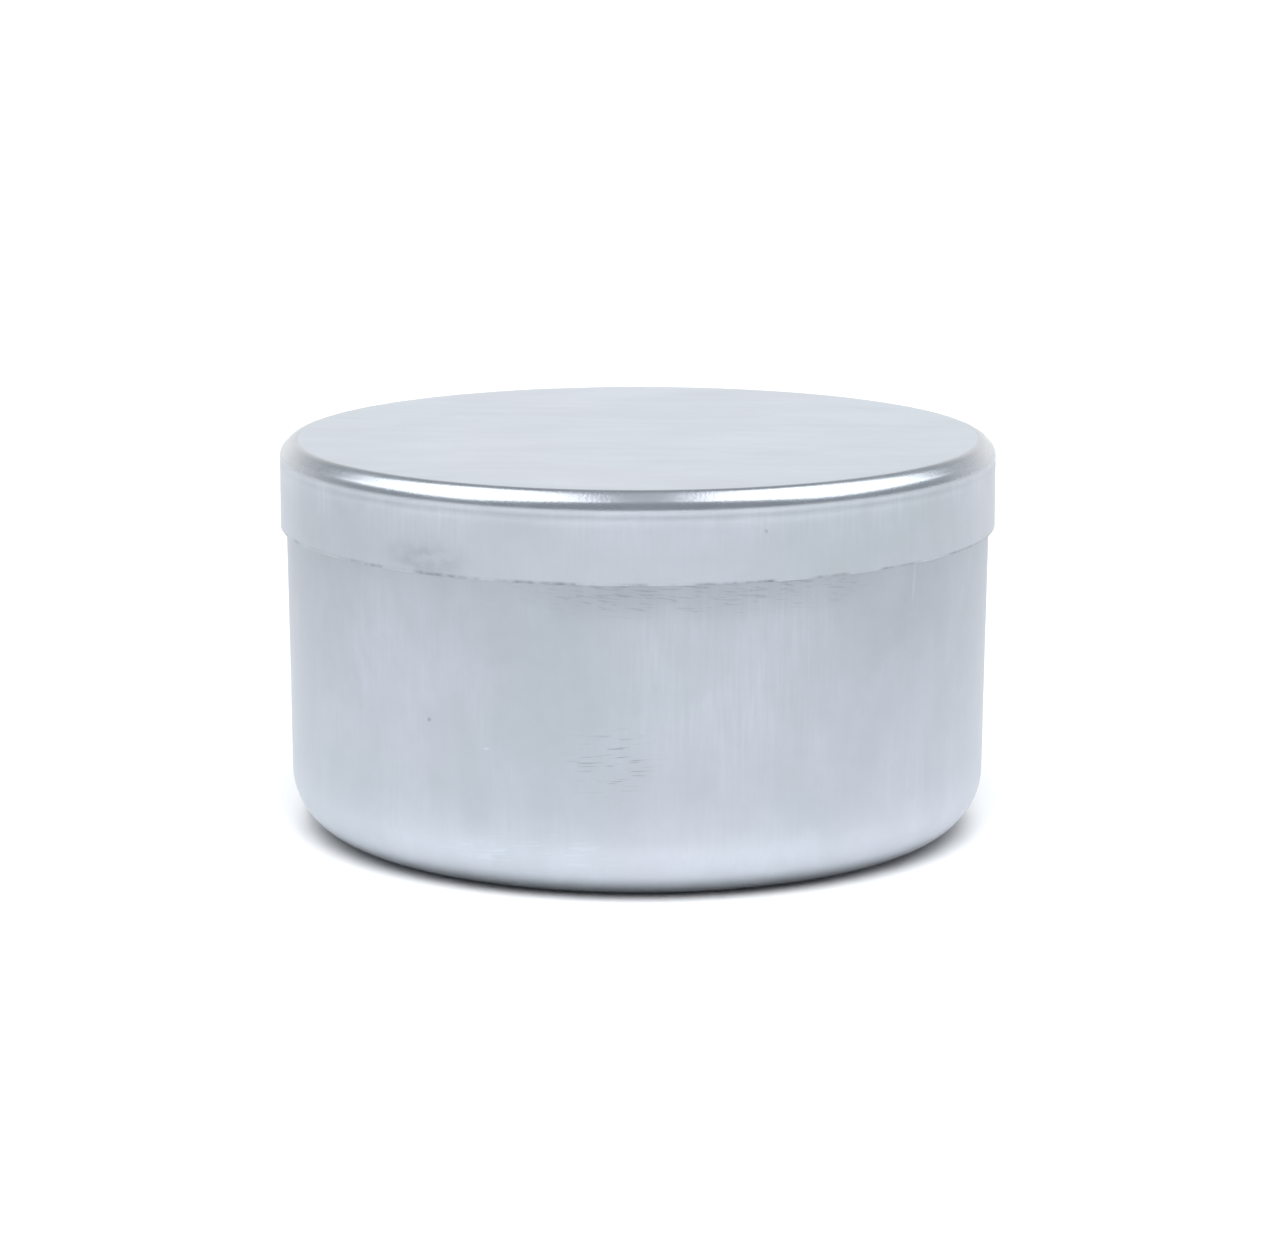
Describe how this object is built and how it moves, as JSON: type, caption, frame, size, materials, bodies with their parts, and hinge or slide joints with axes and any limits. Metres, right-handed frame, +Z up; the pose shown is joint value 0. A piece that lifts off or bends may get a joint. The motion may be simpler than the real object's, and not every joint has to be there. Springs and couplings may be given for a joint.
{
  "type": "candle tin",
  "caption": "Empty round seamless aluminium tin for a container candle: a shallow drawn cup with a rounded heel, closed by a slip-on lid that lifts off.",
  "frame": {"origin": "centre of the base's underside, on the surface that the tin stands on", "axes": "+Z up through the middle of the lid, which lifts off along it; the tin is round, so X and Y are free"},
  "size_m": [0.084, 0.084, 0.0466],
  "materials": {
    "cup_aluminium": "plain mill-finish aluminium sheet, deep drawn, satin with faint upright drawing lines",
    "lid_aluminium": "plain mill-finish aluminium sheet, satin top and skirt, polished by the die on the corner radius"
  },
  "bodies": {
    "cup": {"tin_body": "cup_aluminium"},
    "lid": {"slip_lid": "lid_aluminium"}
  },
  "joints": [
    {"name": "lid_lift", "type": "slide", "parent": "cup", "child": "lid", "axis": [0, 0, 1], "range_m": [0, 0.06]}
  ]
}
